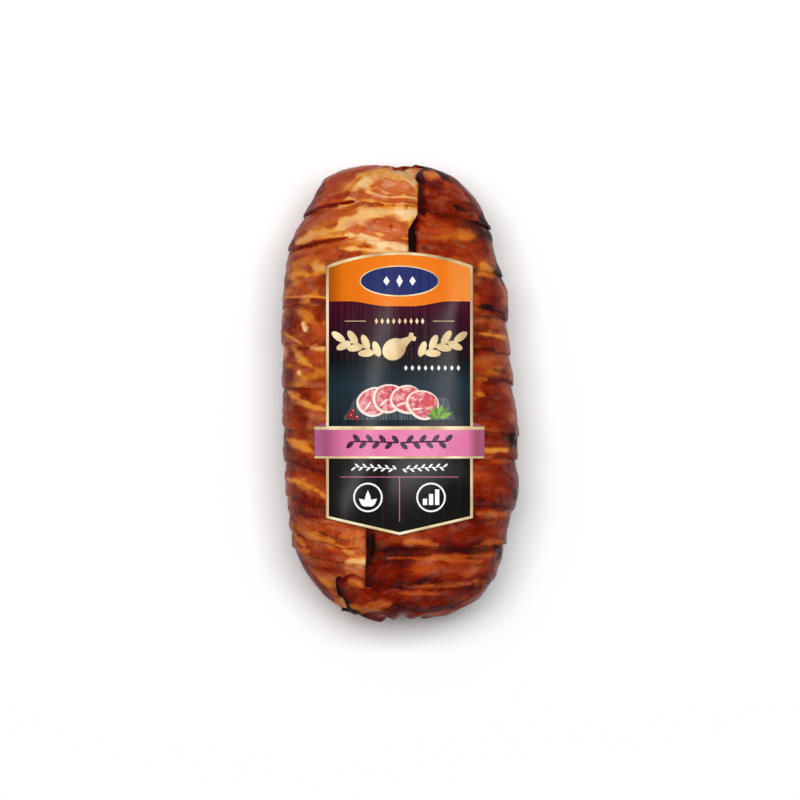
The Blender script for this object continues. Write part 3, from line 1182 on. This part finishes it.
# %% The shell that the film starts from, and what it is drawn over
def shell(height):
    """A smooth closed skin outside the meat, with the way inwards and the wrinkles as attributes."""
    rows, columns = ((262, 330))
    t = POLE * ((np.arange(rows) + 0.5) / rows * 2 - 1)[:, None] * np.ones((1, columns))
    turn = ((np.arange(columns) + 0.5) / columns)[None, :] * np.ones((rows, 1))
    near = meat_point(t, turn)
    along = meat_point(t + 0.4, turn) - meat_point(t - 0.4, turn)
    out = np.cross(along, meat_point(t, turn + 0.001) - meat_point(t, turn - 0.001))
    out /= np.linalg.norm(out, axis=-1, keepdims=True)
    poles = near[[0, -1]].mean(axis=1)
    poles[:, 1] = -HALF_LENGTH - height, HALF_LENGTH + height
    points = np.concatenate([(near + out * height).reshape(-1, 3), poles])
    inward = np.concatenate([-out.reshape(-1, 3), [[0, 1, 0], [0, -1, 0]]])
    gathered = np.abs(rough(turn * 46, t / 60, 0, 151, 3)) * gather(t)
    lines = gathered + 0.3 * np.abs(rough(turn * 60, t / 9, 0, 157, 3))
    attributes = {"inward": inward, "wrinkle": np.concatenate([lines.ravel() * MM, [0, 0]])}
    faces = tube_quads(rows, columns), pole_fans(rows, columns)
    return make_object("film_shell", points, faces, attributes)


wrapped = bpy.data.collections.new("wrapped")
for thing in rashers + [ham]:
    wrapped.objects.link(thing)

# %% The film
tree, start, sink = geometry_tree("drawn film", [
    ("Wrapped", "NodeSocketCollection", None), ("Bridging", "NodeSocketInt", 8),
    ("Clearance", "NodeSocketFloat", 0.0002), ("Wrinkles", "NodeSocketFloat", 0.3),
    ("Reach", "NodeSocketFloat", 0.03), ("Missed", "NodeSocketFloat", 0.009),
    ("Material", "NodeSocketMaterial", None),
])
given = start.outputs
inside = node(tree, "CollectionInfo", {"Collection": given["Wrapped"]})
meat = node(tree, "RealizeInstances", {"Geometry": inside})
way = node(tree, "InputNamedAttribute", {"Name": "inward"}, data_type="FLOAT_VECTOR")
crease = node(tree, "InputNamedAttribute", {"Name": "wrinkle"}, data_type="FLOAT")
ray = node(tree, "Raycast", {"Target Geometry": meat, "Ray Direction": way, "Ray Length": given["Reach"]})
hit, far = ray.outputs["Is Hit"], ray.outputs["Hit Distance"]
found = node(tree, "Switch", {"Switch": hit, "False": given["Missed"], "True": far}, input_type="FLOAT")
marked = {"Geometry": given["Geometry"], "Name": "depth", "Value": found}
shell_now = node(tree, "StoreNamedAttribute", marked)
depth = node(tree, "InputNamedAttribute", {"Name": "depth"}, data_type="FLOAT")
blurred = node(tree, "BlurAttribute", {"Value": depth, "Iterations": given["Bridging"]})
shallower = reckon(tree, "MINIMUM", depth, blurred)
eased = node(tree, "BlurAttribute", {"Value": shallower, "Iterations": 1})
least = reckon(tree, "MINIMUM", eased, shallower)
clear = reckon(tree, "SUBTRACT", least, given["Clearance"])
ruffled = reckon(tree, "MULTIPLY", crease, given["Wrinkles"])
final_depth = reckon(tree, "SUBTRACT", clear, ruffled)
step_in = node(tree, "ShaderNodeVectorMath", {0: way, "Scale": final_depth}, operation="SCALE")
moved = node(tree, "SetPosition", {"Geometry": shell_now, "Offset": step_in})
place = node(tree, "InputPosition")
above_table = node(tree, "ShaderNodeVectorMath", {0: place, 1: (-9, -9, 0)}, operation="MAXIMUM")
resting = node(tree, "SetPosition", {"Geometry": moved, "Position": above_table})
real = node(tree, "RealizeInstances", {"Geometry": resting})
dressed = node(tree, "SetMaterial", {"Geometry": real, "Material": given["Material"]})
tree.links.new(dressed.outputs[0], sink.inputs[0])
film = applied(shell(8.0), tree, "clear_film", Wrapped=wrapped, Material=film_clear)
film.data.polygons.foreach_set("use_smooth", np.full(len(film.data.polygons), True))
bpy.data.collections.remove(wrapped)

# %% [markdown]
# ### Printing inks and foil
#
# The label is printed on glossy plastic. All its inks share one group: the flat colour, slightly uneven in
# fine upright streaks, as the plum panel shows strongly. Some fields change colour across or down the label,
# such as the dark picture, which goes from black to teal and back. Their colour is a ramp along X or Y. Foil
# and the sliced meat have three colours that drift into each other.

# %% Inks
tree, given, sink = group(
    "printing ink",
    [
        ("Ink", "NodeSocketColor", None), ("Streak", "NodeSocketColor", None),
        ("Streaks", "NodeSocketFloat", 0.1),
    ],
    [("Color", "NodeSocketColor"), ("Roughness", "NodeSocketFloat")],
)
spot = object_place(tree)
upright = speckle(tree, spot, (1500, 9, 0), 2.0, 0.5)
patchy = speckle(tree, spot, (60, 40, 40), 2.0, 0.5)
share = upright.eased(0.42, 0.78) * given["Streaks"] * (patchy + 0.4)
plug(tree, blend(tree, share, given["Ink"], given["Streak"]), sink.inputs["Color"])
plug(tree, upright * 0.08 + 0.15, sink.inputs["Roughness"])
printing_ink = tree
SHEEN = 0.15


def ink(name, code, streak="ffffff", streaks=0.05):
    made, tree, shader = material("ink_" + name, Specular_IOR_Level=SHEEN)
    look = place_group(tree, printing_ink, Ink=colour(code), Streak=colour(streak), Streaks=streaks)
    dress(tree, look, shader)
    return made


def graded_ink(name, axis, low, high, stops, streak, streaks):
    """An ink whose colour changes along X or Y, from low to high in mm."""
    made, tree, shader = material("ink_" + name, Specular_IOR_Level=SHEEN)
    apart = tree.nodes.new("ShaderNodeSeparateXYZ")
    plug(tree, object_place(tree), apart.inputs[0])
    share = (Wire(tree, apart.outputs[axis]) - low * MM) * (1 / ((high - low) * MM))
    graded = ramp(tree, share, stops)
    look = place_group(tree, printing_ink, Ink=graded, Streak=colour(streak), Streaks=streaks)
    dress(tree, look, shader)
    return made


def cloudy_material(name, scale, detail, roughness, stops, **settings):
    """A material with three colours that drift into each other."""
    made, tree, shader = material(name, **settings)
    cloud = speckle(tree, object_place(tree), scale, detail, roughness)
    plug(tree, ramp(tree, cloud, stops), shader.inputs["Base Color"])
    return made


GOLDS = [(0.3, "b08f62"), (0.5, "e2c795"), (0.7, "fff0cf")]
MARBLING = [(0.35, "b8404a"), (0.5, "d4717a"), (0.62, "eab0ac")]
gold_foil = cloudy_material("gold_foil", (70, 30, 20), 2.0, 0.5, GOLDS, Metallic=0.1)
sliced = cloudy_material("ink_slice", 420, 4.0, 0.55, MARBLING, Specular_IOR_Level=SHEEN)

# %% One ink for each field
ORANGES = [
    (0.0, "8c4402"), (0.05, "ae5202"), (0.08, "c65d03"), (0.12, "d96a06"), (0.3, "e27010"), (0.5, "e4781e"),
    (0.8, "e27010"), (0.88, "e88432"), (1.0, "ea883a"),
]
PLUMS = [(0.0, "0b080a"), (0.35, "1c0410"), (1.0, "3e0319")]
TEALS = [(0.0, "10151a"), (0.3, "182229"), (0.62, "162730"), (0.85, "10181e"), (1.0, "0b080a")]
BLACKS = [(0.0, "13110e"), (1.0, "100e0b")]
PINKS = [
    (0.0, "b0608a"), (0.07, "9c4c72"), (0.17, "d26d9a"), (0.4, "da75a0"), (0.6, "dc7aa4"), (0.90, "d8729f"),
    (0.95, "9c4c66"), (1.0, "a85a7c"),
]
INKS = {
    "gold": gold_foil,
    "orange": graded_ink("orange", "X", -HALF, HALF, ORANGES, "ffb168", 0.05),
    "plum": graded_ink("plum", "Y", 14, 43, PLUMS, "a05a80", 0.11),
    "picture": graded_ink("picture", "Y", RIBBON_TOP, 15, TEALS, "6f909a", 0.06),
    "board": ink("board", "2c363d", "9fb0b6", 0.4),
    "black": graded_ink("black", "Y", -68, -32, BLACKS, "66625a", 0.05),
    "fold": ink("fold", "8f4a56", "e09aa6", 0.1),
    "pink": graded_ink("pink", "X", -RIBBON, RIBBON, PINKS, "ffc4dd", 0.05),
    "navy": ink("navy", "242a5e", "6f76a8", 0.12),
    "white": ink("white", "f4f2ee"),
    "rose": ink("rose", "b45f86"),
    "plumdark": ink("plumdark", "3a1430"),
    "rind": ink("rind", "ecd6c6", "ffffff", 0.2),
    "slice": sliced,
    "blush": ink("blush", "c9404a", "f0a8a4", 0.3),
    "berry": ink("berry", "8c1220"),
    "green": ink("green", "6f9a2c", "c7dc6a", 0.4),
    "moss": ink("moss", "42701c", "8fb840", 0.3),
}
print(len(INKS), "inks")
for paint in INKS.values():
    label.data.materials.append(paint)
paint_number = {name: number for number, name in enumerate(INKS)}
label.data.polygons.foreach_set("material_index", [paint_number[FIELDS[o][0]] for o in owner])
thickness = label.modifiers.new("thickness", "SOLIDIFY")
thickness.thickness, thickness.offset = SHEET_THICKNESS * MM, -1.0

# %% [markdown]
# ## Raised foil and sprigs, with Geometry Nodes
#
# The gold border is a narrow bead that follows the label's outline and the ribbon's edges, and a sprig is
# leaves along a stem. Both follow a path, so Geometry Nodes make them flat, in plan. A last step drops every
# point straight down on the sheet with Raycast, so that the shapes look undistorted from above.


# %% Dropping flat shapes on the sheet
def end_draped(tree, start, geometry, sink):
    """Drops the geometry on the sheet, makes it real and gives it its material."""
    place = node(tree, "InputPosition")
    flat = node(tree, "ShaderNodeSeparateXYZ", {0: place})
    x, y, z = flat.outputs
    above = node(tree, "ShaderNodeCombineXYZ", {"X": x, "Y": y, "Z": 0.2})
    sheet = node(tree, "ObjectInfo", {"Object": start.outputs["Sheet"]}).outputs["Geometry"]
    real = node(tree, "RealizeInstances", {"Geometry": geometry})
    down = {"Source Position": above, "Ray Direction": (0, 0, -1), "Ray Length": 0.4}
    ray = node(tree, "Raycast", {"Target Geometry": sheet, **down})
    hit = node(tree, "ShaderNodeSeparateXYZ", {0: ray.outputs["Hit Position"]})
    lifted = reckon(tree, "ADD", hit.outputs["Z"], z)
    landed = node(tree, "ShaderNodeCombineXYZ", {"X": x, "Y": y, "Z": lifted})
    moved = node(tree, "SetPosition", {"Geometry": real, "Position": landed})
    final = node(tree, "RealizeInstances", {"Geometry": moved})
    dressed = node(tree, "SetMaterial", {"Geometry": final, "Material": start.outputs["Material"]})
    tree.links.new(dressed.outputs[0], sink.inputs[0])


def plan_curve(name, lines):
    """A curve object with one straight-sided line for each list of places in plan."""
    curve = bpy.data.curves.new(name, "CURVE")
    curve.dimensions = "3D"
    for points in lines:
        spline = curve.splines.new("POLY")
        spline.points.add(len(points) - 1)
        for point, (x, y) in zip(spline.points, points):
            point.co = (x * MM, y * MM, 0.0, 1.0)
    thing = bpy.data.objects.new(name, curve)
    bpy.context.scene.collection.objects.link(thing)
    return thing


# %% The gold bead round the label and along the ribbon
SHARED = [("Sheet", "NodeSocketObject", None), ("Material", "NodeSocketMaterial", None)]
bead_tree, start, sink = geometry_tree("foil bead", [
    ("Width", "NodeSocketFloat", 0.001), ("Rise", "NodeSocketFloat", 0.0001),
    ("Step", "NodeSocketFloat", 0.001), *SHARED,
])
given = start.outputs
even = node(bead_tree, "ResampleCurve", {"Curve": given["Geometry"], "Length": given["Step"]}, mode="LENGTH")
half = reckon(bead_tree, "MULTIPLY", given["Width"], 0.5)
ring = node(bead_tree, "CurvePrimitiveCircle", {"Resolution": 10, "Radius": half})
swept = node(bead_tree, "CurveToMesh", {"Curve": even, "Profile Curve": ring, "Fill Caps": True})
squeeze = reckon(bead_tree, "DIVIDE", given["Rise"], half)
spread = node(bead_tree, "ShaderNodeCombineXYZ", {"X": 1.0, "Y": 1.0, "Z": squeeze})
low = node(bead_tree, "Transform", {"Geometry": swept, "Scale": spread})
end_draped(bead_tree, start, low, sink)


def bead(name, lines, width):
    """A rounded bead of foil along lines in plan, width mm broad."""
    path = plan_curve(name + "_path", lines)
    return applied(
        path, bead_tree, name, Width=width * MM, Rise=0.00014, Step=0.0008, Sheet=label, Material=gold_foil
    )


inset, side = BORDER / 2 + 0.1, HALF - BORDER / 2 - 0.1
right_side = [(side, RIBBON_TOP + 0.2)] + [(side, y) for y in range(-12, 56, 6)]
left_side = [(-x, y) for x, y in right_side[::-1]]
over_top = right_side + body_outline(inset)[:ARCH_POINTS][::-1] + left_side
round_foot = [(-side, RIBBON_FOOT - 0.2), *foot_points(side, inset), (side, RIBBON_FOOT - 0.2)]
gold_border = bead("gold_border", [over_top, round_foot], BORDER - 0.1)
rules = [[(-39.9, y), (39.9, y)] for y in (RIBBON_TOP - 0.75, RIBBON_FOOT + 0.6)]
gold_rules = bead("gold_rules", rules, 1.2)
print("lowest point of the border:", round(min(v.co.z for v in gold_border.data.vertices) / MM, 1), "mm")

# %% Sprigs of leaves along a stem
sprig_tree, start, sink = geometry_tree("leafy sprig", [
    ("Spacing", "NodeSocketFloat", 0.003), ("Leaf Length", "NodeSocketFloat", 0.004),
    ("Leaf Breadth", "NodeSocketFloat", 0.0016), ("Spread", "NodeSocketFloat", 0.7),
    ("Stem", "NodeSocketFloat", 0.0002), ("Rise", "NodeSocketFloat", 0.0001), *SHARED,
])
tree, given = sprig_tree, start.outputs
line = given["Geometry"]
places = node(tree, "CurveToPoints", {"Curve": line, "Length": given["Spacing"]}, mode="LENGTH")
fan = node(tree, "MeshCircle", {"Vertices": 16, "Radius": 0.5}, fill_type="TRIANGLE_FAN")
disc = node(tree, "SubdivideMesh", {"Mesh": fan, "Level": 1})
lens = node(tree, "ShaderNodeCombineXYZ", {"X": given["Leaf Length"], "Y": given["Leaf Breadth"], "Z": 1.0})
aside = node(tree, "ShaderNodeVectorMath", {0: lens, 1: (0.5, 0, 0)}, operation="MULTIPLY")
oval = node(tree, "Transform", {"Geometry": disc, "Scale": lens, "Translation": aside})
upwards = {"Mesh": oval, "Offset": (0, 0, 1), "Offset Scale": given["Rise"], "Individual": False}
thick = node(tree, "ExtrudeMesh", upwards)
back = node(tree, "FlipFaces", {"Mesh": oval})
closed = node(tree, "JoinGeometry")
for part in (back, thick):
    tree.links.new(part.outputs["Mesh"], closed.inputs[0])
merged = node(tree, "MergeByDistance", {"Geometry": closed, "Distance": 0.000005})
direction = node(tree, "ShaderNodeSeparateXYZ", {0: places.outputs["Tangent"]})
heading = reckon(tree, "ARCTAN2", direction.outputs["Y"], direction.outputs["X"])
odd = reckon(tree, "MODULO", node(tree, "InputIndex"), 2.0)
swing = reckon(tree, "MULTIPLY_ADD", odd, 2.0, -1.0)
opened = reckon(tree, "MULTIPLY_ADD", swing, given["Spread"], heading)
turned = node(tree, "ShaderNodeCombineXYZ", {"Z": opened})
leaves = node(tree, "InstanceOnPoints", {"Points": places, "Instance": merged, "Rotation": turned})
wire_ring = node(tree, "CurvePrimitiveCircle", {"Resolution": 6, "Radius": given["Stem"]})
stem = node(tree, "CurveToMesh", {"Curve": line, "Profile Curve": wire_ring, "Fill Caps": True})
low = node(tree, "Transform", {"Geometry": stem, "Scale": (1, 1, 0.4)})
both = node(tree, "JoinGeometry")
for part in (leaves, low):
    tree.links.new(part.outputs[0], both.inputs[0])
end_draped(tree, start, both, sink)


def bowed(x_from, x_to, y, sag, count=26):
    u = np.linspace(0, 1, count)
    return [(mix(x_from, x_to, a), y + sag * math.sin(math.pi * a * 0.5)) for a in u]


def sprigs(name, x_from, x_to, y, sag, paint, spacing, length, breadth, spread, stem):
    """Two sprigs, from the middle out to both sides. Sizes are in mm."""
    stems = plan_curve(name + "_stems", [bowed(sign * x_from, sign * x_to, y, sag) for sign in (1, -1)])
    return applied(
        stems, sprig_tree, name, Spacing=spacing * MM, Leaf_Length=length * MM, Leaf_Breadth=breadth * MM,
        Spread=spread, Stem=stem * MM, Rise=0.00012, Sheet=label, Material=INKS[paint],
    )


ornaments = [
    sprigs("title_sprigs", -9.5, -26, 16.4, 7.0, "gold", 2.9, 7.6, 3.5, 0.62, 0.6),
    sprigs("ribbon_sprig", 0.5, 22, -24.6, 0.6, "plumdark", 2.9, 4.4, 2.3, 0.8, 0.4),
    sprigs("foot_sprig", 1.5, 21, -37.2, 1.0, "white", 1.7, 2.5, 0.9, 0.7, 0.16),
]

# %% [markdown]
# ## What each piece stands for
#
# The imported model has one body, with the meat, the rashers and the label as its solids. Each dressed piece
# rides with that body and takes one of the part's finishes. The meat, the rashers and the label also say
# which solid they replace. The film, the foil and the sprigs have none. The label gets its thickness first,
# as a plain mesh, so that no modifier is left on it.

# %% Give the pieces their materials and tell the frame what each stands for
bpy.context.view_layer.update()
solid = bpy.data.meshes.new_from_object(label.evaluated_get(bpy.context.evaluated_depsgraph_get()))
label.modifiers.clear()
label.data = solid
for thing in rashers:
    thing.data.materials.append(streaky_bacon)
ham.data.materials.append(roast_meat)
for number, thing in enumerate(rashers, 1):
    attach(thing, "root")
    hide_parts(f"rasher_{number:02d}")
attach(ham, "root")
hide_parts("ham")
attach(film, "root")
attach(label, "root")
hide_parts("label")
for thing in (gold_border, gold_rules, *ornaments):
    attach(thing, "root")

# %% [markdown]
# ## Stage, light and camera
#
# The photograph is lit softly from the top of the frame, with two slanted bands of gloss on the label. A
# broad soft box hangs overhead, towards the top of the frame, and the world fills the shadows. The bands are
# the mirror images of two long strips of light. So the strips are seen by glossy rays only, and the soft box
# by diffuse rays only, which would else lay a grey veil on the whole label. The camera looks straight down
# with a long lens.

# %% Floor, lights and camera
FLOOR_HALF = 2500
AIM = Vector((0, 0, 0.04))
made, tree, shader = material("pale_floor", roughness=0.7)
shader.inputs["Base Color"].default_value = (0.915, 0.91, 0.908, 1)
corners = [(x, y, 0) for x, y in box(-FLOOR_HALF, FLOOR_HALF, -FLOOR_HALF, FLOOR_HALF)]
floor = make_object("floor", corners, ([[0, 1, 2, 3]], []), smooth_faces=False)
floor.data.materials.append(made)


def area_light(name, start, end, width, watts):
    """A rectangle of light between two points, turned to face the ham."""
    start, end = Vector(start), Vector(end)
    lamp = bpy.data.lights.new(name, "AREA")
    lamp.shape, lamp.size, lamp.size_y, lamp.energy = "RECTANGLE", width, (end - start).length, watts
    thing = bpy.data.objects.new(name, lamp)
    bpy.context.scene.collection.objects.link(thing)
    thing.location = (start + end) / 2
    along = (end - start).normalized()
    away = thing.location - AIM
    away = (away - along * away.dot(along)).normalized()
    thing.rotation_euler = Matrix((along.cross(away), along, away)).transposed().to_euler()
    return thing


overhead = area_light("overhead", (-1.0, 0.38, 2.9), (1.0, 0.38, 2.9), 1.0, 88)
overhead.visible_glossy = False
for name, start, end, watts in (
    ("strip_left", (0.0, 0.2, 1.6), (-1.72, -0.585, 1.6), 8.5),
    ("strip_right", (1.5, 0.27, 1.6), (0.05, -0.3, 1.6), 7.5),
):
    area_light(name, start, end, 0.12, watts).visible_diffuse = False
world = bpy.data.worlds.new("studio")
world.use_nodes = True
background = world.node_tree.nodes["Background"]
background.inputs["Color"].default_value = (0.84, 0.93, 1.0, 1)
background.inputs["Strength"].default_value = 0.22
bpy.context.scene.world = world
bpy.context.scene.view_settings.view_transform = "Standard"

PHOTO = 800
DISTANCE, FOCUS_HEIGHT, SPAN = 4.0, 0.045, PHOTO * PIXEL * MM
camera_data = bpy.data.cameras.new("camera")
camera_data.sensor_width = 36.0
camera_data.lens = camera_data.sensor_width * (DISTANCE - FOCUS_HEIGHT) / SPAN
camera = bpy.data.objects.new("camera", camera_data)
middle_x, middle_y = (PHOTO / 2 - CENTRE_X) * PIXEL * MM, (CENTRE_Y - PHOTO / 2) * PIXEL * MM
camera.location = (middle_x, middle_y, DISTANCE)
camera_data.clip_end = 20
bpy.context.scene.collection.objects.link(camera)
bpy.context.scene.camera = camera
print(f"a lens of {camera_data.lens:.0f} mm, {DISTANCE} m above the table")
